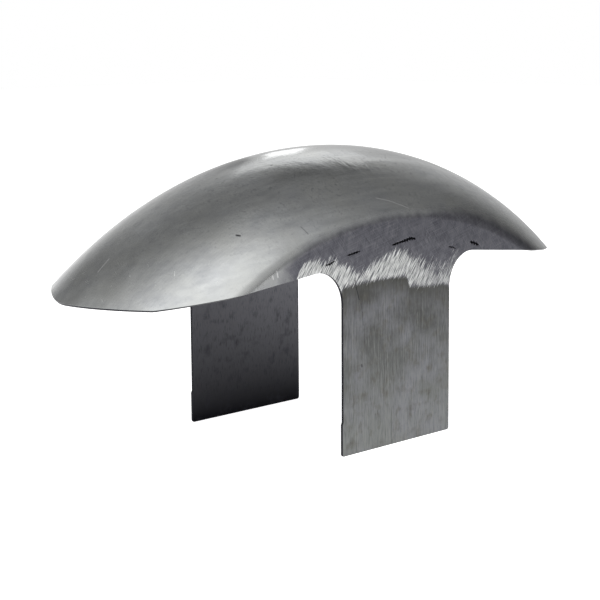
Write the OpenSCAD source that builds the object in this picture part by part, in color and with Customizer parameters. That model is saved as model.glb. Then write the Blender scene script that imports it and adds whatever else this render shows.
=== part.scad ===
// Motorcycle front fender, pressed from one steel sheet.
// A hollow drum of constant section turns about the wheel axle and is cut to the side outline:
// a crowned shell that follows the tyre, with a flat leg that hangs from each side wall.
// X runs along the wheel, Y across it and Z up. Z = 0 is the lower edge of the legs.

/* [Sheet] */
// Thickness of the pressed sheet
sheet_t = 2; // [1:0.1:4]

/* [Section across the fender] */
// Overall width across the two side walls
body_w = 160; // [130:1:240]
// Rise of the crown above the top of the flat side walls
crown_rise = 50; // [40:1:60]
// Radius that blends the crown into each side wall
shoulder_r = 14; // [6:1:30]

/* [Side view] */
// Overall length from tip to tip
body_l = 478; // [400:1:488]
// Radius of the crown line about the wheel axle
crown_line_r = 360; // [350:1:450]
// Height of the crown above the trimmed edge at mid-length
crown_h = 71.5; // [66:0.5:100]
// Fall of the trimmed edge away from the legs, in degrees
trim_slope = 5.7; // [0:0.1:9]
// Length of each rounded tip, seen from above
tip_l = 110; // [60:1:140]

/* [Legs] */
// Width of each leg
leg_w = 116; // [60:1:150]
// Reach of each leg below the trimmed edge at mid-length
leg_drop = 142; // [70:1:220]
// Radius between the trimmed edge and the sides of each leg
leg_fillet_r = 25; // [5:1:45]
// Radius of the lower corners of each leg
leg_corner_r = 2; // [0.5:0.5:10]

/* [Hidden] */
$fn = 240;
half_w = body_w / 2;
half_leg = leg_w / 2;
shoulder_y = half_w - shoulder_r;
// Distance from the axle at which the flat walls end and the crown begins
wall_top_r = crown_line_r - crown_rise;
// Radius across the crown that runs into both shoulders without a crease
section_r = (pow(shoulder_y, 2) + pow(crown_rise, 2) - pow(shoulder_r, 2))
    / (2 * (crown_rise - shoulder_r));
section_centre = crown_line_r - section_r;
// Half of the angle that the crown spans about its own centre
crown_span = atan2(shoulder_y, wall_top_r - section_centre);
// Heights of the trimmed edge at mid-length, of the crown and of the axle
edge_z = leg_drop;
crown_z = edge_z + crown_h;
axle_z = crown_z - crown_line_r;
// Centre of the fillet between the trimmed edge and a leg, on the +X side
fillet_centre = [
    half_leg + leg_fillet_r,
    edge_z - half_leg * tan(trim_slope) - leg_fillet_r / tan((90 - trim_slope) / 2)
];
// How far the cutting outlines stand clear of what they leave whole
clear = 5;
// Flat steps that stand for the round stretches of an outline
crown_steps = 40;
corner_steps = 12;

// Points along an arc, without its last one
function arc(centre, radius, from, to, steps) = [
    for (i = [0 : steps - 1])
        let (bearing = from + (to - from) * i / steps)
            centre + radius * [cos(bearing), sin(bearing)]
];

function reversed(points) = [for (i = [len(points) - 1 : -1 : 0]) points[i]];

// One face of the sheet from wall to wall, with X measured from the axle
function skin(inset) = concat(
    [[0, inset - half_w]],
    arc([wall_top_r, -shoulder_y], shoulder_r - inset, -90, -crown_span, corner_steps),
    arc([section_centre, 0], section_r - inset, -crown_span, crown_span, crown_steps),
    arc([wall_top_r, shoulder_y], shoulder_r - inset, crown_span, 90, corner_steps),
    [[wall_top_r, half_w - inset], [0, half_w - inset]]
);

// The section turned about the axle: two flat discs joined by a crowned rim
module drum() {
    translate([0, 0, axle_z]) rotate([90, 0, 0]) rotate_extrude()
        polygon(concat(skin(0), reversed(skin(sheet_t))));
}

// Half of the outline seen from the side, from the leg's lower corner to the top
half_outline = concat(
    arc([half_leg - leg_corner_r, leg_corner_r], leg_corner_r, -90, 0, corner_steps),
    [[half_leg, leg_corner_r]],
    arc(fillet_centre, leg_fillet_r, 180, 90 - trim_slope, corner_steps),
    [
        fillet_centre + leg_fillet_r * [sin(trim_slope), cos(trim_slope)],
        [crown_line_r, edge_z - crown_line_r * tan(trim_slope)],
        [crown_line_r, crown_z + clear]
    ]
);

function flipped(points) = [for (p = reversed(points)) [-p[0], p[1]]];

// What is kept of the drum, seen from the side
module side_cut() {
    rotate([90, 0, 0]) linear_extrude(height = body_w + 2 * clear, center = true)
        polygon(concat(half_outline, flipped(half_outline)));
}

// One rounded tip seen from above: half an ellipse as wide as the fender
function tip() = [
    for (bearing = [-90 : 180 / crown_steps : 90])
        [body_l / 2 - tip_l + tip_l * cos(bearing), (half_w + clear) * sin(bearing)]
];

// What is kept of the drum, seen from above
module plan_cut() {
    translate([0, 0, -clear]) linear_extrude(height = crown_z + 2 * clear)
        polygon(concat(tip(), flipped(tip())));
}

module fender() {
    color("#8f9091") intersection() {
        drum();
        side_cut();
        plan_cut();
    }
}

fender();
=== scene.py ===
# Motorcycle front fender in raw pressed steel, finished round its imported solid.

import math
import bpy
import numpy as np
from mathutils import Matrix, Vector, geometry


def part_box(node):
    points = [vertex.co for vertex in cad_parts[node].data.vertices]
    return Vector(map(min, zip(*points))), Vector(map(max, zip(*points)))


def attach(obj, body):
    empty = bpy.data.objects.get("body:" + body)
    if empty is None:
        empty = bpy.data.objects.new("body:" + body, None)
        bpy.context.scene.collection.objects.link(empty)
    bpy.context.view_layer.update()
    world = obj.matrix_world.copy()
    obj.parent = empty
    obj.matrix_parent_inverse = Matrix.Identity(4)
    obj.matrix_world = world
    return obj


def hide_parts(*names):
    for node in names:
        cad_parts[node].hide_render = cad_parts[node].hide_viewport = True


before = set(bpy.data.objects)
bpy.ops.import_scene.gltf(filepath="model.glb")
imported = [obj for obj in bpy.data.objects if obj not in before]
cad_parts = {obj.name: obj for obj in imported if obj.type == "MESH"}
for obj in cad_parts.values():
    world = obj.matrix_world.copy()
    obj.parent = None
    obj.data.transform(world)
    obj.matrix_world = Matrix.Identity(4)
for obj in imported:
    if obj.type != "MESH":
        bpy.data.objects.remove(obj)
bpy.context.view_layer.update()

# The cut blank
# One sheet of 2 mm mild steel, cut to its outline with two legs left on and its edges eased with a file.
# It is laid out in millimetres from the middle: along the wheel, round the section and into the sheet.
low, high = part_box("fender")
MM = 0.001
body_l = (high.x - low.x) / MM
half_w = (high.y - low.y) / 2 / MM
crown_z = high.z / MM
sheet_t = 2
crown_line_r = 360
crown_rise = 50
shoulder_r = 14
crown_h = 71.5
trim_slope = math.radians(5.7)
tip_l = 110
plan_clear = 5
half_leg = 58
leg_fillet_r = 25
leg_corner_r = 2
eased_edge = 0.35
askew_cut = 9            # the front tip was cut by hand and loses this much more on its left half
askew_width = 70         # measured off the wheel's plane
burr_reach = 0.8         # the shears left the foot of each leg's front edge standing proud
burr_top = 24            # and this high up the leg

foot_step = 4            # spacing of the points that draw the outline, in millimetres
shank_step = 2
shank_start = 3          # above the rounded corner
corner_points = 7
fillet_points = 29
trim_points = 26

edge_z = crown_z - crown_h
axle_z = crown_z - crown_line_r
shoulder_y = half_w - shoulder_r
wall_top_r = crown_line_r - crown_rise
section_r = (shoulder_y ** 2 + crown_rise ** 2 - shoulder_r ** 2) / (2 * (crown_rise - shoulder_r))
section_centre = crown_line_r - section_r
crown_span = math.atan2(shoulder_y, wall_top_r - section_centre)
crown_arc = section_r * crown_span
shoulder_arc = shoulder_r * (math.pi / 2 - crown_span)
wall_arc = crown_arc + shoulder_arc


def section_point(across):
    """Distance from the axle and height off the wheel's plane, at an arc length from the crown line."""
    reach = abs(across)
    if reach <= crown_arc:
        turn = reach / section_r
        rho, y = section_centre + section_r * math.cos(turn), section_r * math.sin(turn)
    else:
        turn = crown_span + min(reach - crown_arc, shoulder_arc) / shoulder_r
        rho = wall_top_r + shoulder_r * math.cos(turn) - max(reach - wall_arc, 0)
        y = shoulder_y + shoulder_r * math.sin(turn)
    return rho, math.copysign(y, across)


def end_angle(across, end=1):
    """How far round the axle the sheet reaches, cut by the trimmed edge or by the rounded tip."""
    rho, y = section_point(across)
    trimmed = trim_slope + math.acos((edge_z - axle_z) * math.cos(trim_slope) / rho)
    if end < 0 and y > 0:
        y += askew_cut * math.sin(math.pi * min(y / askew_width, 1))
    tip_x = body_l / 2 - tip_l + tip_l * math.sqrt(1 - (y / (half_w + plan_clear)) ** 2)
    return min(trimmed, math.asin(tip_x / rho))


def arc_points(centre, radius, start, end, count):
    """Points along an arc in the plane of a wall, both ends included."""
    bearings = np.radians(np.linspace(start, end, count))
    return [(centre[0] + radius * math.cos(b), centre[1] + radius * math.sin(b)) for b in bearings]


def wall_half_outline(side):
    """Half of a wall's lower outline, from the middle of the leg's foot to the corner of the tip."""
    slope = math.degrees(trim_slope)
    fillet_x = half_leg + leg_fillet_r
    fillet_drop = leg_fillet_r / math.tan(math.radians(90 - slope) / 2)
    fillet_z = edge_z - half_leg * math.tan(trim_slope) - fillet_drop
    foot = [(x, 0) for x in np.arange(0, half_leg - leg_corner_r, foot_step)]
    burr = burr_reach if side < 0 else 0
    corner_centre = (half_leg + burr - leg_corner_r, leg_corner_r)
    corner = arc_points(corner_centre, leg_corner_r, -90, 0, corner_points)
    heights = np.arange(leg_corner_r + shank_start, fillet_z - shank_step, shank_step)
    shank = [(half_leg + (burr if z < burr_top else 0), z) for z in heights]
    fillet = arc_points((fillet_x, fillet_z), leg_fillet_r, 180, 90 - slope, fillet_points)
    corner_x = wall_top_r * math.sin(end_angle(wall_arc))
    trim_xs = np.linspace(fillet[-1][0], corner_x, trim_points)[1:]
    trim = [(x, edge_z - x * math.tan(trim_slope)) for x in trim_xs]
    return [(side * x, z) for x, z in foot + corner + shank + fillet + trim]


# The press tears above the right leg: a run of x and z in millimetres on the wall, then its half width
tears = {
    "short_tear": ([(-75, 138.6), (-71, 138.9), (-66, 140.5)], 0.8),
    "thin_tear": ([(-53, 143.2), (-48.5, 143.8), (-40.5, 144.9)], 0.8),
    "long_tear": ([(-6, 145.9), (1, 147), (8, 148)], 0.9),
    "wide_tear": ([(3, 147.2), (9, 148.1), (14, 149), (19.5, 148.2)], 1.4),
    "faint_tear": ([(57, 138.6), (61.5, 138), (65, 136.4)], 0.4),
    "round_tear": ([(82, 140), (87.5, 138.6), (92, 136.8)], 1.5),
}
tear_depth = 0.9


def tear_share(x, z):
    """How far into a tear a point of the wall lies: 0 outside it, 1 along its middle."""
    deepest = 0
    for run, half_width in tears.values():
        for (ax, az), (bx, bz) in zip(run, run[1:]):
            along = ((x - ax) * (bx - ax) + (z - az) * (bz - az)) / ((bx - ax) ** 2 + (bz - az) ** 2)
            along = min(max(along, 0), 1)
            gap = math.hypot(x - ax - along * (bx - ax), z - az - along * (bz - az))
            # The torn lips run in and out by about half their width
            ragged = 1 + 0.4 * math.sin(2.3 * x + 0.7 * z) + 0.3 * math.sin(4.1 * x)
            start, end = run[0][0], run[-1][0]
            taper = math.sqrt(max(1 - ((2 * x - start - end) / (end - start + half_width)) ** 2, 0))
            width = max(half_width * ragged * taper, 0.05)
            deepest = max(deepest, 1 - (gap / width) ** 2)
    return deepest


column_count = 180
crown_rows = 92
shoulder_rows = 8
columns = np.linspace(-1, 1, column_count + 1)
rows = np.concatenate([
    np.linspace(-wall_arc, -crown_arc, shoulder_rows + 1)[:-1],
    np.linspace(-crown_arc, crown_arc, crown_rows + 1)[:-1],
    np.linspace(crown_arc, wall_arc, shoulder_rows + 1),
])
blank = []               # (angle round the axle, arc length across, depth into the sheet)
sheet_faces = []


def put(angle, across, depth=0):
    """Adds a point of the blank and gives its number."""
    blank.append((angle, across, depth))
    return len(blank) - 1


def wall_place(x, z, side):
    """A wall's point by its side view, turned into its place on the blank."""
    rho = math.hypot(x, z - axle_z)
    return math.atan2(x, z - axle_z), side * (wall_arc + wall_top_r - rho)


# The crown as a grid of rows along the wheel, numbered row by row
grid = [[put(t * end_angle(across, t), across) for t in columns] for across in rows]
for near_row, far_row in zip(grid, grid[1:]):
    for i in range(column_count):
        sheet_faces.append((near_row[i], near_row[i + 1], far_row[i + 1], far_row[i]))

# Each wall hangs from the crown's outer row, and its tears get points close enough to hold their shape
lower_outline = list(reversed(wall_half_outline(-1)))[:-1] + wall_half_outline(1)
support_gap = 1.5
ring_points = 150
ring_share = 0.93        # of the wall's length, so the ring stops short of both tips
wall_mesh_step = 5
tear_step = 0.45
tear_reach = 2.2         # half widths round a tear that get close rows
ring_clear = 0.8
close_clear = 1.2
spread_clear = 2.4
point_share = 0.8        # of the clearance, between two points
edge_share = 0.7         # of the clearance, between a point and the outline
rim_clear = 1            # no inner point lies closer than this to the crown or to the foot
fillet_margin = 34       # further out than this from a leg, the wall ends at the trimmed edge
rim = []                 # numbers of the points round the whole edge, in order


def wall_fill():
    """Points inside a wall: a ring under the crown, an even spread, and close rows round the tears."""
    ring_r = wall_top_r - support_gap
    ring_end = math.asin(lower_outline[-1][0] / wall_top_r) * ring_share
    turns = np.linspace(-ring_end, ring_end, ring_points)
    ring = [(ring_r * math.sin(a), axle_z + ring_r * math.cos(a)) for a in turns]
    spread = []
    for z in np.arange(wall_mesh_step, wall_top_r + axle_z, wall_mesh_step):
        for x in np.arange(-wall_top_r / 2, wall_top_r / 2, wall_mesh_step):
            spread.append((x + (z % (2 * wall_mesh_step)) / 2, z))
    close = []
    for run, half_width in tears.values():
        reach = tear_reach * half_width
        for x in np.arange(run[0][0] - reach, run[-1][0] + reach, tear_step):
            middle = np.interp(x, [p[0] for p in run], [p[1] for p in run])
            close += [(x, middle + dz) for dz in np.arange(-reach, reach, tear_step)]
    return ring, spread, close


def distance_to_outline(x, z, outline):
    """Nearest distance from a point to a closed outline."""
    a = np.array(outline)
    b = np.roll(a, -1, axis=0)
    span = b - a
    share = np.clip(((x, z) - a)[:, 0] * span[:, 0] + ((x, z) - a)[:, 1] * span[:, 1], 0, None)
    share = np.minimum(share / (span ** 2).sum(1), 1)
    return np.sqrt((((x, z) - a - share[:, None] * span) ** 2).sum(1)).min()


def make_wall(side):
    """Triangulates one wall between the crown's outer row and the lower outline, and gives its edge."""
    top_row = grid[0] if side < 0 else grid[-1]
    top_angles = [blank[i][0] for i in top_row]
    top = [(wall_top_r * math.sin(a), axle_z + wall_top_r * math.cos(a)) for a in top_angles]
    inner_top = top[1:-1]
    outline = lower_outline + inner_top[::-1]
    ring, spread, close = wall_fill()
    inside = []
    layers = ((ring, ring_clear), (close if side < 0 else [], close_clear), (spread, spread_clear))
    for points, clear in layers:
        taken = np.array(inside) if inside else np.zeros((0, 2))
        for x, z in points:
            if math.hypot(x, z - axle_z) > wall_top_r - rim_clear or z < rim_clear:
                continue
            if abs(x) > half_leg + fillet_margin and z < edge_z - abs(x) * math.tan(trim_slope):
                continue
            if len(taken) and (((taken - (x, z)) ** 2).sum(1) < (clear * point_share) ** 2).any():
                continue
            if distance_to_outline(x, z, outline) < clear * edge_share:
                continue
            inside.append((x, z))
    points = [Vector(p) for p in outline + inside]
    loop = list(range(len(outline)))
    placed, _, faces, origins, _, _ = geometry.delaunay_2d_cdt(points, [], [loop], 1, 1e-6)
    numbers = {}
    for k, found in enumerate(origins):
        source = found[0]
        if len(lower_outline) <= source < len(outline):
            numbers[k] = top_row[1:-1][::-1][source - len(lower_outline)]
        elif source == 0:
            numbers[k] = top_row[0]
        elif source == len(lower_outline) - 1:
            numbers[k] = top_row[-1]
        else:
            x, z = placed[k]
            share = tear_share(x, z) if side < 0 else 0
            numbers[k] = put(*wall_place(x, z, side), tear_depth * share)
    for face in faces:
        corners = [numbers[k] for k in face]
        sheet_faces.append(corners if side < 0 else corners[::-1])
    by_source = {found[0]: k for k, found in enumerate(origins)}
    return [numbers[by_source[k]] for k in range(len(lower_outline))]


near_edge = make_wall(-1)
far_edge = make_wall(1)
right_tip = [row[-1] for row in grid[1:-1]]
left_tip = [row[0] for row in grid[1:-1]]
rim = near_edge + right_tip + far_edge[::-1] + left_tip[::-1]


def ease_the_edge():
    """Draws the rim in by its rounding, copies the sheet to its inner face, and closes the edge."""
    count = len(rim)
    places = np.array([blank[i][:2] for i in rim])
    ahead = np.roll(places, -1, axis=0) - np.roll(places, 1, axis=0)
    rho = np.array([section_point(v)[0] for v in places[:, 1]])
    length = np.hypot(ahead[:, 0] * rho, ahead[:, 1])
    outward = np.stack([ahead[:, 1] / length / rho, -ahead[:, 0] * rho / length], axis=1)
    for i, place, out in zip(rim, places, outward):
        blank[i] = (*(place - eased_edge * out), 0)
    sheet_points = len(blank)
    outer_faces = list(sheet_faces)
    for angle, across, depth in blank[:sheet_points]:
        put(angle, across, sheet_t)
    for face in outer_faces:
        sheet_faces.append([i + sheet_points for i in reversed(face)])
    corner = eased_edge * (1 - math.sqrt(0.5))
    profile = [(corner, corner), (0, eased_edge), (0, sheet_t - eased_edge), (corner, sheet_t - corner)]
    rings = [rim]
    for inset, depth in profile:
        rings.append([put(*(place - inset * out), depth) for place, out in zip(places, outward)])
    edge_points.extend(k for ring in rings[1:] for k in ring)
    rings.append([i + sheet_points for i in rim])
    for upper, lower in zip(rings, rings[1:]):
        for k in range(count):
            after = (k + 1) % count
            sheet_faces.append((upper[after], upper[k], lower[k], lower[after]))
    return sheet_points


edge_points = []
sheet_points = ease_the_edge()
blank_mesh = bpy.data.meshes.new("blank")
flat = [(angle * crown_line_r, across, depth) for angle, across, depth in blank]
blank_mesh.from_pydata(flat, [], sheet_faces)
blank_mesh.validate()
inside = blank_mesh.attributes.new("inner_face", "FLOAT", "POINT")
torn = blank_mesh.attributes.new("torn", "FLOAT", "POINT")
cut = blank_mesh.attributes.new("cut_edge", "FLOAT", "POINT")
for k, (angle, across, depth) in enumerate(blank):
    outer = k < sheet_points
    inside.data[k].value = 0 if outer else (1 if depth >= sheet_t / 2 else 0)
    torn.data[k].value = depth / tear_depth if outer else 0
for k in edge_points:
    cut.data[k].value = 1
rim_pairs = {frozenset(pair) for ring in (rim, [i + sheet_points for i in rim])
             for pair in zip(ring, ring[1:] + ring[:1])}
sharp = blank_mesh.attributes.new("sharp_edge", "BOOLEAN", "EDGE")
for edge in blank_mesh.edges:
    sharp.data[edge.index].value = frozenset(edge.vertices) in rim_pairs


# The press
# The blank is stretched cold over the former, which turns its flat places into a crown, two tight shoulders
# and two flat walls round the wheel's axle.
press_sizes = {
    "Crown line radius": crown_line_r,
    "Section radius": section_r,
    "Section centre": section_centre,
    "Crown span": crown_span,
    "Crown arc": crown_arc,
    "Shoulder radius": shoulder_r,
    "Shoulder turn": math.pi / 2 - crown_span,
    "Shoulder height": shoulder_y,
    "Wall arc": wall_arc,
    "Wall top radius": wall_top_r,
    "Axle height": axle_z,
}


def add_node(tree, kind, inputs=None, **settings):
    """Adds a node, sets it up, and links or fills each of the inputs that are given."""
    made = tree.nodes.new(kind)
    for name, value in settings.items():
        setattr(made, name, value)
    for key, value in (inputs or {}).items():
        if isinstance(value, bpy.types.Node):
            value = next(socket for socket in value.outputs if socket.enabled)
        if isinstance(value, bpy.types.NodeSocket):
            tree.links.new(value, made.inputs[key])
        else:
            made.inputs[key].default_value = value
    return made


def build_press():
    """The node tree that takes each point of the blank to its place on the pressed sheet."""
    tree = bpy.data.node_groups.new("press", "GeometryNodeTree")
    tree.interface.new_socket("Blank", in_out="INPUT", socket_type="NodeSocketGeometry")
    for name in press_sizes:
        tree.interface.new_socket(name, in_out="INPUT", socket_type="NodeSocketFloat")
    tree.interface.new_socket("Finish", in_out="INPUT", socket_type="NodeSocketMaterial")
    tree.interface.new_socket("Sheet", in_out="OUTPUT", socket_type="NodeSocketGeometry")
    given = add_node(tree, "NodeGroupInput").outputs
    place = add_node(tree, "ShaderNodeSeparateXYZ", {
        0: add_node(tree, "GeometryNodeInputPosition")}).outputs
    angle = add_node(tree, "ShaderNodeMath", {
        0: place["X"], 1: given["Crown line radius"]}, operation="DIVIDE")
    reach = add_node(tree, "ShaderNodeMath", {0: place["Y"]}, operation="ABSOLUTE")
    side = add_node(tree, "ShaderNodeMath", {0: place["Y"]}, operation="SIGN")
    crown_turn = add_node(tree, "ShaderNodeMapRange", {
        "Value": reach, "From Max": given["Crown arc"], "To Max": given["Crown span"]})
    shoulder_turn = add_node(tree, "ShaderNodeMapRange", {
        "Value": reach, "From Min": given["Crown arc"], "From Max": given["Wall arc"],
        "To Max": given["Shoulder turn"]})
    turn = add_node(tree, "ShaderNodeMath", {0: crown_turn, 1: shoulder_turn})
    past = add_node(tree, "ShaderNodeMath", {0: reach, 1: given["Crown arc"]}, operation="GREATER_THAN")
    centre = add_node(tree, "ShaderNodeMix", {
        0: past, 2: given["Section centre"], 3: given["Wall top radius"]})
    radius = add_node(tree, "ShaderNodeMix", {
        0: past, 2: given["Section radius"], 3: given["Shoulder radius"]})
    height = add_node(tree, "ShaderNodeMath", {
        0: past, 1: given["Shoulder height"]}, operation="MULTIPLY")
    sunk = add_node(tree, "ShaderNodeMath", {0: radius, 1: place["Z"]}, operation="SUBTRACT")
    cosine = add_node(tree, "ShaderNodeMath", {0: turn}, operation="COSINE")
    sine = add_node(tree, "ShaderNodeMath", {0: turn}, operation="SINE")
    bent = add_node(tree, "ShaderNodeMath", {0: sunk, 1: cosine, 2: centre}, operation="MULTIPLY_ADD")
    wall = add_node(tree, "ShaderNodeMath", {0: reach, 1: given["Wall arc"]}, operation="SUBTRACT")
    drop = add_node(tree, "ShaderNodeMath", {0: wall, 1: 0.0}, operation="MAXIMUM")
    rho = add_node(tree, "ShaderNodeMath", {0: bent, 1: drop}, operation="SUBTRACT")
    off = add_node(tree, "ShaderNodeMath", {0: sunk, 1: sine, 2: height}, operation="MULTIPLY_ADD")
    y = add_node(tree, "ShaderNodeMath", {0: off, 1: side}, operation="MULTIPLY")
    ahead = add_node(tree, "ShaderNodeMath", {0: angle}, operation="SINE")
    up = add_node(tree, "ShaderNodeMath", {0: angle}, operation="COSINE")
    x = add_node(tree, "ShaderNodeMath", {0: rho, 1: ahead}, operation="MULTIPLY")
    z = add_node(tree, "ShaderNodeMath", {
        0: rho, 1: up, 2: given["Axle height"]}, operation="MULTIPLY_ADD")
    formed = add_node(tree, "ShaderNodeCombineXYZ", {"X": x, "Y": y, "Z": z})
    metres = add_node(tree, "ShaderNodeVectorMath", {0: formed, "Scale": MM}, operation="SCALE")
    moved = add_node(tree, "GeometryNodeSetPosition", {"Geometry": given["Blank"], "Position": metres})
    whole = add_node(tree, "GeometryNodeRealizeInstances", {"Geometry": moved})
    finished = add_node(tree, "GeometryNodeSetMaterial", {
        "Geometry": whole, "Material": given["Finish"]})
    add_node(tree, "NodeGroupOutput", {"Sheet": finished})
    return tree


raw_steel = bpy.data.materials.new("raw_pressed_steel")
pressing = bpy.data.objects.new("pressing", blank_mesh)
bpy.context.scene.collection.objects.link(pressing)
press = pressing.modifiers.new("press", "NODES")
press.node_group = build_press()
for item in press.node_group.interface.items_tree:
    if item.in_out == "INPUT" and item.name in press_sizes:
        press[item.identifier] = float(press_sizes[item.name])
    elif item.in_out == "INPUT" and item.name == "Finish":
        press[item.identifier] = raw_steel
depsgraph = bpy.context.evaluated_depsgraph_get()
fender_mesh = bpy.data.meshes.new_from_object(pressing.evaluated_get(depsgraph), depsgraph=depsgraph)
bpy.data.objects.remove(pressing)
fender_mesh.name = "pressed_fender"
fender = bpy.data.objects.new("pressed_fender", fender_mesh)
bpy.context.scene.collection.objects.link(fender)
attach(fender, "root")
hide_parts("fender")


# The finish of the steel
# Cold rolled mild steel as it leaves the press, bare and unpainted: satin where the crown was stretched and
# rubbed, dark and scuffed with mill scale on the flat walls, ground bright across the roots of the legs.
# The colour also holds painted light: a painted dark reflection over the wall's scale, painted shade on the
# leg under the ground band, and painted shade on the inner faces, darkest at the foot.


def colour(code):
    """A web colour such as #8f9091 as linear light."""
    parts = [int(code[i:i + 2], 16) / 255 for i in (1, 3, 5)]
    return [c / 12.92 if c <= 0.04045 else ((c + 0.055) / 1.055) ** 2.4 for c in parts] + [1]


raw_steel.use_nodes = True
finish = raw_steel.node_tree
surface = finish.nodes["Principled BSDF"]
surface.inputs["Metallic"].default_value = 1
object_place = add_node(finish, "ShaderNodeTexCoord").outputs["Object"]
spot = add_node(finish, "ShaderNodeVectorMath", {0: object_place, "Scale": 1 / MM}, operation="SCALE")
along, _, height = add_node(finish, "ShaderNodeSeparateXYZ", {0: spot}).outputs
off_axle = add_node(finish, "ShaderNodeVectorMath", {0: spot, 1: (0, 0, axle_z)}, operation="SUBTRACT")
off_axle = add_node(finish, "ShaderNodeVectorMath", {0: off_axle, 1: (1, 0, 1)}, operation="MULTIPLY")
rho_here = add_node(finish, "ShaderNodeVectorMath", {0: off_axle}, operation="LENGTH").outputs["Value"]

# Marks of the steel's handling: the stretch of each in millimetres along, across and up, its turn in the
# wall's plane in degrees, and how fine its detail is. Real grain and grinding lines are about 0.1 mm
# wide, and are drawn as wide as they need to show.
marks = {
    "cloud": ((34, 34, 26), 0, 5),
    "blotch": ((9, 9, 9), 0, 5),
    "speckle": ((2.2, 2.2, 2.2), 0, 3),
    "sheet_grain": ((0.9, 3, 32), 0, 5),
    "short_grain": ((0.8, 3, 6), 0, 5),
    "grinding": ((9, 9, 0.62), -54, 2),
    "coarse_grinding": ((11, 9, 2.4), -54, 3),
    "steep_scuffs": ((18, 9, 0.7), -76, 3),
    "level_scuffs": ((22, 9, 0.7), -14, 3),
    "falling_scuffs": ((16, 9, 0.7), 48, 3),
    "rolling": ((60, 5, 5), 0, 4),
    "cross_waves": ((9, 34, 18), 0, 3),
}
mark = {}
for name, (stretch, turned, detail) in marks.items():
    laid = add_node(finish, "ShaderNodeMapping", {
        "Vector": spot, "Rotation": (0, math.radians(turned), 0), "Scale": stretch}, vector_type="TEXTURE")
    mark[name] = add_node(finish, "ShaderNodeTexNoise", {
        "Vector": laid, "Scale": 1.0, "Detail": float(detail), "Roughness": 0.55}).outputs["Fac"]

# Where the flat wall starts under the shoulder: dark scale that the die never rubbed, whose colour also
# holds a painted dark reflection
wall_drift = add_node(finish, "ShaderNodeMix", {0: 0.6, 2: mark["blotch"], 3: mark["cloud"]})
wall_drift = add_node(finish, "ShaderNodeMapRange", {"Value": wall_drift, "To Min": -6.0, "To Max": 6.0})
wall_rise = add_node(finish, "ShaderNodeMapRange", {
    "Value": along, "From Min": 0.0, "From Max": 100.0, "To Max": 8.0})
wall_line = add_node(finish, "ShaderNodeMath", {0: rho_here, 1: wall_drift})
wall_line = add_node(finish, "ShaderNodeMath", {0: wall_line, 1: wall_rise}, operation="SUBTRACT")
scale_and_reflection_starts_r = 318.5   # from the axle, in millimetres
scale_and_reflection_full_r = 308.0
on_wall = add_node(finish, "ShaderNodeMapRange", {
    "Value": wall_line, "From Min": scale_and_reflection_starts_r, "From Max": scale_and_reflection_full_r},
    interpolation_type="SMOOTHSTEP")
along_drift = add_node(finish, "ShaderNodeMapRange", {
    "Value": mark["blotch"], "To Min": -12.0, "To Max": 12.0})
along_line = add_node(finish, "ShaderNodeMath", {0: along, 1: along_drift})
past_left = add_node(finish, "ShaderNodeMapRange", {
    "Value": along_line, "From Min": -124.0, "From Max": -104.0}, interpolation_type="SMOOTHSTEP")
before_right = add_node(finish, "ShaderNodeMapRange", {
    "Value": along_line, "From Min": 230.0, "From Max": 150.0}, interpolation_type="SMOOTHSTEP")
between = add_node(finish, "ShaderNodeMath", {0: past_left, 1: before_right}, operation="MULTIPLY")
between = add_node(finish, "ShaderNodeMapRange", {"Value": between, "To Min": 0.38, "To Max": 1.0})
scale_and_dark_reflection = add_node(finish, "ShaderNodeMath", {0: on_wall, 1: between}, operation="MULTIPLY")

# The ground band, by its upper and lower edge: x and z in millimetres on the wall
band_edges = {
    "upper": [(-108, 118), (-104, 131), (-101, 137), (-97, 141.5), (-90, 143.8), (-78, 141), (-66, 138.6),
              (-53, 135), (-45, 130.5), (-39, 127.5), (-33, 131), (-26, 134.5), (-13, 138.5), (-4, 139.8),
              (4, 140), (12, 136.5), (23, 131), (35, 125.5), (47, 121.5), (56, 123.5), (64, 129), (74, 133)],
    "lower": [(-108, 96), (-64, 110), (-57, 121), (-45, 122), (-23, 122.5), (-2, 122.5), (9, 121.5),
              (13, 113.5), (33, 112), (50, 111.5), (56, 109.5), (62, 104), (74, 96)],
}
band_span = (-108, 74)
band_rise = (90, 150)
share_along = add_node(finish, "ShaderNodeMapRange", {
    "Value": along, "From Min": float(band_span[0]), "From Max": float(band_span[1])})
band_edge = {}
for name, run in band_edges.items():
    curve = add_node(finish, "ShaderNodeFloatCurve", {"Value": share_along})
    line = curve.mapping.curves[0]
    knots = [((x - band_span[0]) / (band_span[1] - band_span[0]),
              (z - band_rise[0]) / (band_rise[1] - band_rise[0])) for x, z in run]
    line.points[0].location = knots[0]
    line.points[1].location = knots[-1]
    for knot in knots[1:-1]:
        line.points.new(*knot)
    for point in line.points:
        point.handle_type = "VECTOR"
    curve.mapping.update()
    band_edge[name] = add_node(finish, "ShaderNodeMapRange", {
        "Value": curve, "To Min": float(band_rise[0]), "To Max": float(band_rise[1])})
coarse_share = 0.15      # of the strokes, left by the grinding disc's coarse rim
stroke = add_node(finish, "ShaderNodeMix", {
    0: coarse_share, 2: mark["grinding"], 3: mark["coarse_grinding"]})
upper_gap = add_node(finish, "ShaderNodeMath", {0: band_edge["upper"], 1: height}, operation="SUBTRACT")
left_feather = add_node(finish, "ShaderNodeMapRange", {
    "Value": along, "From Min": -99.0, "From Max": -80.0, "To Min": 0.15, "To Max": 1.0})
right_feather = add_node(finish, "ShaderNodeMapRange", {
    "Value": along, "From Min": -8.0, "From Max": 36.0, "To Min": 1.0, "To Max": 2.2})
feather = add_node(finish, "ShaderNodeMath", {0: left_feather, 1: right_feather}, operation="MULTIPLY")
upper_reach = add_node(finish, "ShaderNodeMath", {0: upper_gap, 1: feather}, operation="DIVIDE")
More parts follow.
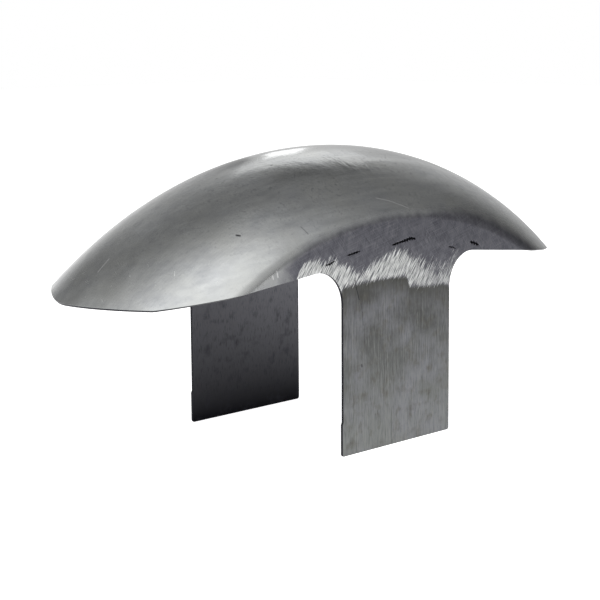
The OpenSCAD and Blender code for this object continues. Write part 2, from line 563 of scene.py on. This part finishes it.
upper_need = add_node(finish, "ShaderNodeMapRange", {
    "Value": upper_reach, "From Min": -6.0, "From Max": 3.5, "To Min": 0.68, "To Max": 0.36})
upper_excess = add_node(finish, "ShaderNodeMath", {0: stroke, 1: upper_need}, operation="SUBTRACT")
under_upper = add_node(finish, "ShaderNodeMapRange", {"Value": upper_excess, "From Max": 0.1})
lower_gap = add_node(finish, "ShaderNodeMath", {0: height, 1: band_edge["lower"]}, operation="SUBTRACT")
lower_need = add_node(finish, "ShaderNodeMapRange", {
    "Value": lower_gap, "From Min": -3.0, "From Max": 3.0, "To Min": 0.68, "To Max": 0.34})
lower_excess = add_node(finish, "ShaderNodeMath", {0: stroke, 1: lower_need}, operation="SUBTRACT")
over_lower = add_node(finish, "ShaderNodeMapRange", {"Value": lower_excess, "From Max": 0.12})
ground = add_node(finish, "ShaderNodeMath", {0: under_upper, 1: over_lower}, operation="MULTIPLY")
band_end = add_node(finish, "ShaderNodeMapRange", {"Value": along, "From Min": 70.0, "From Max": 63.0})
ground = add_node(finish, "ShaderNodeMath", {0: ground, 1: band_end}, operation="MULTIPLY")
# Outside the band nothing is ground, however strong a single stroke is
band_top = add_node(finish, "ShaderNodeMapRange", {
    "Value": height, "From Min": 152.0, "From Max": 148.0})
ground = add_node(finish, "ShaderNodeMath", {0: ground, 1: band_top}, operation="MULTIPLY")
band_foot = add_node(finish, "ShaderNodeMapRange", {
    "Value": lower_gap, "From Min": -8.0, "From Max": -4.0})
ground = add_node(finish, "ShaderNodeMath", {0: ground, 1: band_foot}, operation="MULTIPLY")
lighter_pass = add_node(finish, "ShaderNodeMapRange", {
    "Value": along, "From Min": 5.0, "From Max": 40.0, "To Min": 1.0, "To Max": 0.7})
ground = add_node(finish, "ShaderNodeMath", {0: ground, 1: lighter_pass}, operation="MULTIPLY")
on_leg = add_node(finish, "ShaderNodeMapRange", {
    "Value": lower_gap, "From Min": 2.0, "From Max": -2.0}, interpolation_type="SMOOTHSTEP")
near_middle = add_node(finish, "ShaderNodeMath", {0: along}, operation="ABSOLUTE")
near_middle = add_node(finish, "ShaderNodeMapRange", {
    "Value": near_middle, "From Min": 74.0, "From Max": 70.0})
on_leg = add_node(finish, "ShaderNodeMath", {0: on_leg, 1: near_middle}, operation="MULTIPLY")

# Colours of each zone, varied by the marks that lie on it
crown_tone = add_node(finish, "ShaderNodeMapRange", {
    "Value": mark["rolling"], "From Min": 0.3, "From Max": 0.7})
crown_steel = add_node(finish, "ShaderNodeMix", {
    0: crown_tone, 6: colour("#9b9d9f"), 7: colour("#b0b2b2")}, data_type="RGBA")
crown_cloud = add_node(finish, "ShaderNodeMapRange", {
    "Value": mark["cloud"], "From Min": 0.35, "From Max": 0.7, "To Max": 0.7})
crown_steel = add_node(finish, "ShaderNodeMix", {
    0: crown_cloud, 6: crown_steel, 7: colour("#a8a9a6")}, data_type="RGBA")
crown_speckle = add_node(finish, "ShaderNodeMapRange", {
    "Value": mark["speckle"], "From Min": 0.47, "From Max": 0.27, "To Max": 1.2})
speckled_place = add_node(finish, "ShaderNodeMapRange", {
    "Value": mark["blotch"], "From Min": 0.42, "From Max": 0.62, "To Min": 0.15, "To Max": 0.8})
speckled_rise = add_node(finish, "ShaderNodeMapRange", {
    "Value": height, "From Min": 140.0, "From Max": 195.0, "To Min": 0.25, "To Max": 1.0})
crown_speckle = add_node(finish, "ShaderNodeMath", {
    0: crown_speckle, 1: speckled_place}, operation="MULTIPLY")
crown_speckle = add_node(finish, "ShaderNodeMath", {
    0: crown_speckle, 1: speckled_rise}, operation="MULTIPLY")
crown_steel = add_node(finish, "ShaderNodeMix", {
    0: crown_speckle, 6: crown_steel, 7: colour("#808184")}, data_type="RGBA")

# The dark wall zone: the colour of mill scale, darkened further as a painted dark reflection, with lighter
# scuffs and darker rubbed marks
dark_wall_tone = add_node(finish, "ShaderNodeMapRange", {
    "Value": mark["blotch"], "From Min": 0.3, "From Max": 0.7})
scale_and_painted_reflection = add_node(finish, "ShaderNodeMix", {
    0: dark_wall_tone, 6: colour("#505057"), 7: colour("#66666c")}, data_type="RGBA")
for name in ("steep_scuffs", "level_scuffs", "falling_scuffs"):
    scuffed = add_node(finish, "ShaderNodeMapRange", {
        "Value": mark[name], "From Min": 0.55, "From Max": 0.75, "To Max": 0.5})
    scale_and_painted_reflection = add_node(finish, "ShaderNodeMix", {
        0: scuffed, 6: scale_and_painted_reflection, 7: colour("#7f7f83")}, data_type="RGBA")
    rubbed = add_node(finish, "ShaderNodeMapRange", {
        "Value": mark[name], "From Min": 0.45, "From Max": 0.28, "To Max": 0.5})
    scale_and_painted_reflection = add_node(finish, "ShaderNodeMix", {
        0: rubbed, 6: scale_and_painted_reflection, 7: colour("#3e3e44")}, data_type="RGBA")

ground_tone = add_node(finish, "ShaderNodeMapRange", {
    "Value": stroke, "From Min": 0.38, "From Max": 0.6})
ground_steel = add_node(finish, "ShaderNodeMix", {
    0: ground_tone, 6: colour("#6f7170"), 7: colour("#d6d7d6")}, data_type="RGBA")

leg_rise = add_node(finish, "ShaderNodeMapRange", {"Value": height, "From Min": 10.0, "From Max": 112.0})
leg_steel = add_node(finish, "ShaderNodeMix", {
    0: leg_rise, 6: colour("#717372"), 7: colour("#484848")}, data_type="RGBA")
leg_cloud = add_node(finish, "ShaderNodeMapRange", {
    "Value": mark["cloud"], "From Min": 0.42, "From Max": 0.68, "To Max": 0.75})
leg_steel = add_node(finish, "ShaderNodeMix", {
    0: leg_cloud, 6: leg_steel, 7: colour("#7a7b80")}, data_type="RGBA")
leg_blotch = add_node(finish, "ShaderNodeMapRange", {
    "Value": mark["blotch"], "From Min": 0.48, "From Max": 0.3, "To Max": 0.6})
leg_steel = add_node(finish, "ShaderNodeMix", {
    0: leg_blotch, 6: leg_steel, 7: colour("#54514a")}, data_type="RGBA")
for name, light, dark, strength in (("sheet_grain", "#828380", "#474847", 0.6),
                                    ("short_grain", "#8a8b88", "#333332", 0.45)):
    lighter = add_node(finish, "ShaderNodeMapRange", {
        "Value": mark[name], "From Min": 0.52, "From Max": 0.78, "To Max": strength})
    leg_steel = add_node(finish, "ShaderNodeMix", {
        0: lighter, 6: leg_steel, 7: colour(light)}, data_type="RGBA")
    darker = add_node(finish, "ShaderNodeMapRange", {
        "Value": mark[name], "From Min": 0.45, "From Max": 0.24, "To Max": strength})
    leg_steel = add_node(finish, "ShaderNodeMix", {
        0: darker, 6: leg_steel, 7: colour(dark)}, data_type="RGBA")
# Painted shade on the leg, just under the ground band's lower edge
painted_shade_under_band = add_node(finish, "ShaderNodeMapRange", {
    "Value": lower_gap, "From Min": -20.0, "From Max": -1.0, "To Max": 0.65})
leg_steel = add_node(finish, "ShaderNodeMix", {
    0: painted_shade_under_band, 6: leg_steel, 7: colour("#454540")}, data_type="RGBA")

# The inner faces carry painted shade: near black at the foot between the legs, lighter up towards the crown,
# with darker blotches and streaks
inner_rise = add_node(finish, "ShaderNodeMapRange", {
    "Value": height, "From Min": 2.0, "From Max": 100.0})
painted_inner_shade = add_node(finish, "ShaderNodeMix", {
    0: inner_rise, 6: colour("#08080d"), 7: colour("#737378")}, data_type="RGBA")
inner_blotch = add_node(finish, "ShaderNodeMapRange", {
    "Value": mark["blotch"], "From Min": 0.46, "From Max": 0.28, "To Max": 0.5})
painted_inner_shade = add_node(finish, "ShaderNodeMix", {
    0: inner_blotch, 6: painted_inner_shade, 7: colour("#2a2a30")}, data_type="RGBA")
inner_streak = add_node(finish, "ShaderNodeMapRange", {
    "Value": mark["short_grain"], "From Min": 0.47, "From Max": 0.25, "To Max": 0.7})
painted_inner_shade = add_node(finish, "ShaderNodeMix", {
    0: inner_streak, 6: painted_inner_shade, 7: colour("#1c1c22")}, data_type="RGBA")

painted = crown_steel
for mask, tone in ((scale_and_dark_reflection, scale_and_painted_reflection), (on_leg, leg_steel), (ground, ground_steel)):
    painted = add_node(finish, "ShaderNodeMix", {0: mask, 6: painted, 7: tone}, data_type="RGBA")
inner_face = add_node(finish, "ShaderNodeAttribute", attribute_name="inner_face").outputs["Fac"]
painted = add_node(finish, "ShaderNodeMix", {
    0: inner_face, 6: painted, 7: painted_inner_shade}, data_type="RGBA")
torn_steel = add_node(finish, "ShaderNodeAttribute", attribute_name="torn").outputs["Fac"]
torn_steel = add_node(finish, "ShaderNodeMapRange", {
    "Value": torn_steel, "From Min": 0.1, "From Max": 0.6})
painted = add_node(finish, "ShaderNodeMix", {
    0: torn_steel, 6: painted, 7: colour("#101013")}, data_type="RGBA")
cut_edge = add_node(finish, "ShaderNodeAttribute", attribute_name="cut_edge").outputs["Fac"]
painted = add_node(finish, "ShaderNodeMix", {
    0: cut_edge, 6: painted, 7: colour("#232328")}, data_type="RGBA")

# Single marks of handling, each a run of points in millimetres and half its width
dark_marks = {
    "pit": ([(-138.2, -58.2, 163.3), (-136.6, -59.2, 162.9)], 0.8, 0.9),
    "nick": ([(-91.2, -72.1, 165.9), (-88.4, -76, 161.2)], 0.5, 0.4),
    "upper_crack": ([(-45.8, -80, 126.1), (-44, -80, 118.5), (-41.4, -80, 110.8)], 0.4, 0.8),
    "lower_crack": ([(-39.6, -80, 107.5), (-38.2, -80, 101), (-37.4, -80, 92)], 0.35, 0.4),
    "front_speck": ([(-109.2, -7.2, 196.2), (-108.6, -7.2, 196.4)], 0.6, 0.6),
    "high_speck": ([(-70, -21.9, 204), (-68.6, -21.9, 204.2)], 0.5, 0.7),
    "back_speck": ([(27.6, -28, 208.1), (28.2, -28, 208)], 0.6, 0.5),
    "lower_speck": ([(32.9, -37.9, 203.8), (33.6, -38, 203.7)], 0.6, 0.5),
    "leg_pit": ([(-39, -80, 63.5), (-38.6, -80, 62.5)], 0.8, 0.6),
}
bright_marks = {
    "tip_scratch": ([(-215, -6, 142), (-204.7, -5, 149.4)], 0.5, 0.5),
    "shoulder_scratch": ([(-13.9, -71.2, 179.8), (-1.8, -73.7, 176.8), (13.3, -77.7, 170.9)], 0.4, 0.35),
    "edge_nick": ([(-122.5, -79.8, 139.5), (-121.5, -79.9, 135.5)], 0.5, 0.45),
    "edge_tick": ([(-126.5, -79.8, 136.6), (-125.8, -79.9, 134.6)], 0.5, 0.35),
}
for runs, tone in ((dark_marks, "#2a2a2d"), (bright_marks, "#ececec")):
    for run, half_width, strength in runs.values():
        for start, end in zip(run, run[1:]):
            reach = Vector(end) - Vector(start)
            step = reach / reach.length_squared
            offset = add_node(finish, "ShaderNodeVectorMath", {0: spot, 1: start}, operation="SUBTRACT")
            share = add_node(finish, "ShaderNodeVectorMath", {
                0: offset, 1: step}, operation="DOT_PRODUCT")
            share = add_node(finish, "ShaderNodeClamp", {"Value": share.outputs["Value"]})
            nearest = add_node(finish, "ShaderNodeVectorMath", {
                0: reach, "Scale": share}, operation="SCALE")
            gap = add_node(finish, "ShaderNodeVectorMath", {0: offset, 1: nearest}, operation="DISTANCE")
            marked = add_node(finish, "ShaderNodeMapRange", {
                "Value": gap.outputs["Value"], "From Min": 1.5 * half_width, "From Max": 0.5 * half_width,
                "To Max": strength})
            painted = add_node(finish, "ShaderNodeMix", {
                0: marked, 6: painted, 7: colour(tone)}, data_type="RGBA")
finish.links.new(painted.outputs[2], surface.inputs["Base Color"])

# The rubbed crown is the smoothest, near a mirror at its top, and the torn steel the roughest
rough = add_node(finish, "ShaderNodeMapRange", {"Value": mark["blotch"], "To Min": 0.18, "To Max": 0.3})
rubbed_top = add_node(finish, "ShaderNodeMapRange", {
    "Value": height, "From Min": 194.0, "From Max": 206.0})
rough = add_node(finish, "ShaderNodeMix", {0: rubbed_top, 2: rough, 3: 0.08})
for mask, level in ((scale_and_dark_reflection, 0.36), (on_leg, 0.5), (ground, 0.44), (inner_face, 0.55), (torn_steel, 0.8)):
    rough = add_node(finish, "ShaderNodeMix", {0: mask, 2: rough, 3: level})
finish.links.new(rough.outputs[0], surface.inputs["Roughness"])

# Relief in millimetres: slight waves left by the press, and the bite of the grinding and of the grain
wave_depth = add_node(finish, "ShaderNodeMapRange", {
    "Value": height, "From Min": 150.0, "From Max": 200.0, "To Min": 0.05, "To Max": 0.18})
relief = add_node(finish, "ShaderNodeMath", {0: mark["blotch"], 1: wave_depth}, operation="MULTIPLY")
wave_place = add_node(finish, "ShaderNodeVectorMath", {0: spot, 1: (0, -36, 205)}, operation="DISTANCE")
waved = add_node(finish, "ShaderNodeMapRange", {
    "Value": wave_place.outputs["Value"], "From Min": 34.0, "From Max": 12.0},
    interpolation_type="SMOOTHSTEP")
relief_steps = ((waved, mark["cross_waves"], 0.55),
                (ground, mark["grinding"], 0.05), (on_leg, mark["short_grain"], 0.02),
                (scale_and_dark_reflection, mark["steep_scuffs"], 0.012), (scale_and_dark_reflection, mark["level_scuffs"], 0.012))
for mask, pattern, bite in relief_steps:
    cut = add_node(finish, "ShaderNodeMath", {0: mask, 1: pattern}, operation="MULTIPLY")
    relief = add_node(finish, "ShaderNodeMath", {0: cut, 1: bite, 2: relief}, operation="MULTIPLY_ADD")
bump = add_node(finish, "ShaderNodeBump", {"Height": relief, "Distance": MM})
finish.links.new(bump.outputs[0], surface.inputs["Normal"])


# The studio
# A white floor that runs out of sight, and a tent of soft panels round the fender that its steel reflects.
floor_mesh = bpy.data.meshes.new("floor")
floor_reach = 6
floor_mesh.from_pydata([(-floor_reach, -floor_reach, 0), (floor_reach, -floor_reach, 0),
                        (floor_reach, floor_reach, 0), (-floor_reach, floor_reach, 0)], [], [(0, 1, 2, 3)])
floor = bpy.data.objects.new("floor", floor_mesh)
bpy.context.scene.collection.objects.link(floor)

# Matt white paint: it keeps the fender's soft shadow, and the camera and the steel see it as plain white
white_floor = bpy.data.materials.new("matt_white_paint")
white_floor.use_nodes = True
tree = white_floor.node_tree
paint = tree.nodes["Principled BSDF"]
paint.inputs["Base Color"].default_value = colour("#e8e8e8")
paint.inputs["Roughness"].default_value = 0.9
ray = add_node(tree, "ShaderNodeLightPath").outputs
seen = add_node(tree, "ShaderNodeMath", {0: ray["Is Camera Ray"], 1: ray["Is Glossy Ray"]})
seen = add_node(tree, "ShaderNodeMath", {0: seen, 1: ray["Is Transmission Ray"]}, use_clamp=True)
floor_glow = 0.96
glow = add_node(tree, "ShaderNodeMath", {0: seen, 1: floor_glow}, operation="MULTIPLY")
tree.links.new(glow.outputs[0], paint.inputs["Emission Strength"])
paint.inputs["Emission Color"].default_value = (1, 1, 1, 1)
floor_mesh.materials.append(white_floor)

world = bpy.data.worlds.new("white_world")
bpy.context.scene.world = world
world.use_nodes = True
tree = world.node_tree
sky = tree.nodes["Background"]
sky.inputs["Color"].default_value = (1, 1, 1, 1)
ray = add_node(tree, "ShaderNodeLightPath").outputs
seen = add_node(tree, "ShaderNodeMath", {0: ray["Is Camera Ray"], 1: ray["Is Glossy Ray"]})
seen = add_node(tree, "ShaderNodeMath", {0: seen, 1: ray["Is Transmission Ray"]}, use_clamp=True)
sky_light = 0.5
level = add_node(tree, "ShaderNodeMapRange", {"Value": seen, "To Min": sky_light, "To Max": 1.0})
tree.links.new(level.outputs[0], sky.inputs["Strength"])

# Panels of the tent: bearing and height of the middle, half width, half height, soft edge, brightness added
tent_radius = 1.2
tent_dark = 0.03         # the cloth where no panel shines through
tent_brightest = 1.85    # no panel shines more than this, so the crown never burns out
tent_panels = {
    "key": (-147.6, 21.8, 36, 8, 34.7, 2.3),
    "upper_key": (-135, 47.5, 14.8, 2, 33.2, 1.18),
    "left_fill": (-156.2, 44.5, 52.4, 21.3, 49.9, 0.6),
    "horizon": (170.2, -3.1, 99.7, 5, 40.3, 1.36),
    "key_core": (-102, 54, 8, 5, 12, 0.6),
    "front_fill": (-40, 27.9, 9, 13.5, 26.3, 0.46),
    "right_fill": (25.7, 20.7, 4, 21, 33.3, 0.67),
    "back_fill": (57.9, 41.8, 12.5, 2, 21.3, 0.63),
    "far_fill": (-121.2, 46.3, 4, 27.6, 21.4, 0.52),
    "skylight": (38, 28, 12, 22, 2, 0.34),
    "window": (47.2, 30, 2, 6, 1.2, 1.1),
    "flag": (-77.5, 61.6, 109, 6, 35.8, -0.31),
    "low_flag": (42, 24, 8, 6, 13, -0.5),
    "side_fill": (-4, 40, 6, 4, 16, 0.07),
}


def panel_share(bearing, height, panel):
    """The light a panel adds in a direction: all of its brightness on it, and none well off it."""
    middle, level, half_width, half_height, soft, strength = panel
    turn = (bearing - middle + 180) % 360 - 180
    beside = max(abs(turn) * math.cos(math.radians(height)) - half_width, 0)
    above = max(abs(height - level) - half_height, 0)
    fall = min(math.hypot(beside, above) / soft, 1)
    return strength * (1 - fall * fall * (3 - 2 * fall))


# The tent gets a point for every degree round and up
tent_bearings = np.linspace(-180, 180, 361)
tent_heights = np.linspace(-2, 90, 93)
points = []
brightness = []
for height in tent_heights:
    for bearing in tent_bearings[:-1]:
        b, h = math.radians(bearing), math.radians(height)
        points.append((tent_radius * math.cos(b) * math.cos(h), tent_radius * math.sin(b) * math.cos(h),
                       tent_radius * math.sin(h)))
        level = tent_dark + sum(panel_share(bearing, height, panel) for panel in tent_panels.values())
        brightness.append(min(max(level, 0), tent_brightest))
around = len(tent_bearings) - 1
faces = []
for j in range(len(tent_heights) - 1):
    for i in range(around):
        after = (i + 1) % around
        faces.append((j * around + i, (j + 1) * around + i, (j + 1) * around + after, j * around + after))
tent_mesh = bpy.data.meshes.new("light_tent")
tent_mesh.from_pydata(points, [], faces)
glowing = tent_mesh.attributes.new("brightness", "FLOAT", "POINT")
glowing.data.foreach_set("value", brightness)
tent = bpy.data.objects.new("light_tent", tent_mesh)
bpy.context.scene.collection.objects.link(tent)
tent.visible_camera = False
tent.visible_shadow = False

# White diffusion cloth lit from outside, which the steel finds by reflection and not as a lamp
cloth = bpy.data.materials.new("diffusion_cloth")
cloth.use_nodes = True
tree = cloth.node_tree
tree.nodes.clear()
cloth.cycles.emission_sampling = "NONE"
shade = add_node(tree, "ShaderNodeAttribute", attribute_name="brightness")
light = add_node(tree, "ShaderNodeEmission", {"Strength": shade.outputs["Fac"]})
add_node(tree, "ShaderNodeOutputMaterial", {"Surface": light})
tent_mesh.materials.append(cloth)

# The camera
# A long lens off the fender's left quarter, a little above it.
camera_bearing = math.radians(-45.415)
camera_height = math.radians(9.134)
camera_roll = math.radians(-0.413)
camera_place = (-0.91482, -0.88240, 0.30135)
camera = bpy.data.objects.new("camera", bpy.data.cameras.new("camera"))
bpy.context.scene.collection.objects.link(camera)
camera.data.sensor_width = 36
camera.data.lens = 102.43
back = Vector((math.sin(camera_bearing) * math.cos(camera_height),
               -math.cos(camera_bearing) * math.cos(camera_height), math.sin(camera_height)))
level_right = (-back).cross(Vector((0, 0, 1))).normalized()
level_up = level_right.cross(-back)
right = level_right * math.cos(camera_roll) + level_up * math.sin(camera_roll)
up = level_up * math.cos(camera_roll) - level_right * math.sin(camera_roll)
turned = Matrix((right, up, back)).transposed().to_4x4()
camera.matrix_world = Matrix.Translation(camera_place) @ turned
bpy.context.scene.camera = camera
bpy.context.scene.view_settings.view_transform = "Standard"

bpy.context.view_layer.update()
